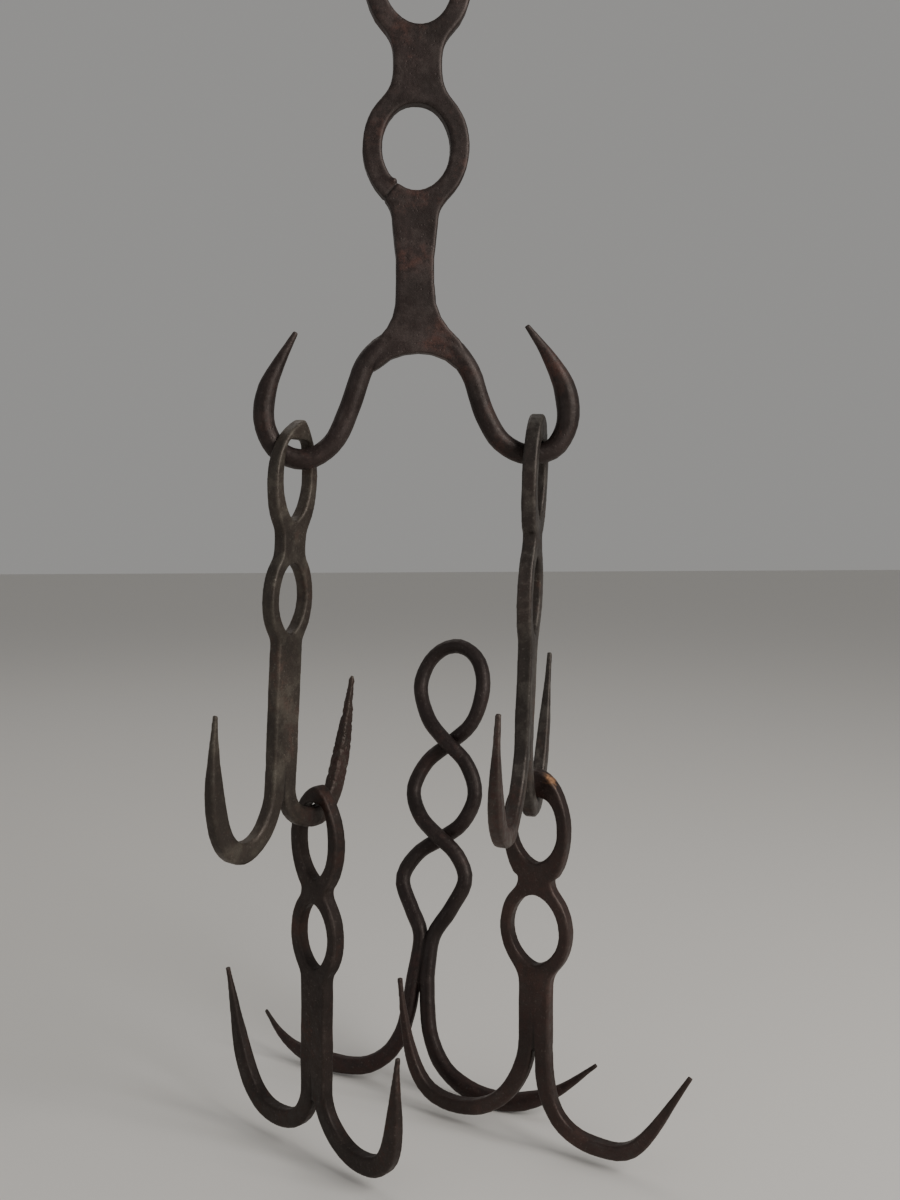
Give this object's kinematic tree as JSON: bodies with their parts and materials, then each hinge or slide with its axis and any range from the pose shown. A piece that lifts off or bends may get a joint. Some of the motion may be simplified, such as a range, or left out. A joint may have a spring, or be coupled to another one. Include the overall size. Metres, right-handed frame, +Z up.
{
  "type": "hook",
  "caption": "hand-forged wrought iron butcher's meat hook set: a double-armed hanger, double claw hooks hung from it in two tiers, and a loose hook of twisted rod",
  "frame": {"origin": "top of the hanger's upper eye, inside the hole, where the set hangs from its bar or nail", "axes": "+Z up; +X to the right across the hanger's two arms; +Y away from the hanger's front"},
  "size_m": [0.2859, 0.3204, 0.7488],
  "materials": {
    "hanger_iron": "satin",
    "middle_hook_left_iron": "satin",
    "middle_hook_right_iron": "satin",
    "low_hook_left_iron": "satin",
    "low_hook_right_iron": "satin",
    "twisted_hook_iron": "satin"
  },
  "bodies": {
    "hanger": {"hanger": "hanger_iron"},
    "middle_hook_left": {"middle_hook_left": "middle_hook_left_iron"},
    "middle_hook_right": {"middle_hook_right": "middle_hook_right_iron"},
    "low_hook_left": {"low_hook_left": "low_hook_left_iron"},
    "low_hook_right": {"low_hook_right": "low_hook_right_iron"},
    "twisted_hook": {"twisted_hook": "twisted_hook_iron"}
  },
  "joints": [
    {"name": "middle_left_swing", "type": "hinge", "parent": "hanger", "child": "middle_hook_left", "pos_m": [-0.0724, 0, -0.2953], "axis": [0.9207, 0, -0.3903], "range_deg": [-18, 8]},
    {"name": "middle_right_swing", "type": "hinge", "parent": "hanger", "child": "middle_hook_right", "pos_m": [0.0702, 0, -0.293], "axis": [1, 0, 0], "range_deg": [-40, 3]},
    {"name": "low_left_swing", "type": "hinge", "parent": "middle_hook_left", "child": "low_hook_left", "pos_m": [-0.06243, 0.0329, -0.51523], "axis": [0.5878, 0.809, 0], "range_deg": [-50, 22]},
    {"name": "low_right_swing", "type": "hinge", "parent": "middle_hook_right", "child": "low_hook_right", "pos_m": [0.07498, 0.03657, -0.51472], "axis": [0.342, 0.9397, 0], "range_deg": [-50, 48]},
    {"name": "twisted_lift", "type": "slide", "parent": "hanger", "child": "twisted_hook", "axis": [0, 0, 1], "range_m": [0, 0.1]}
  ]
}
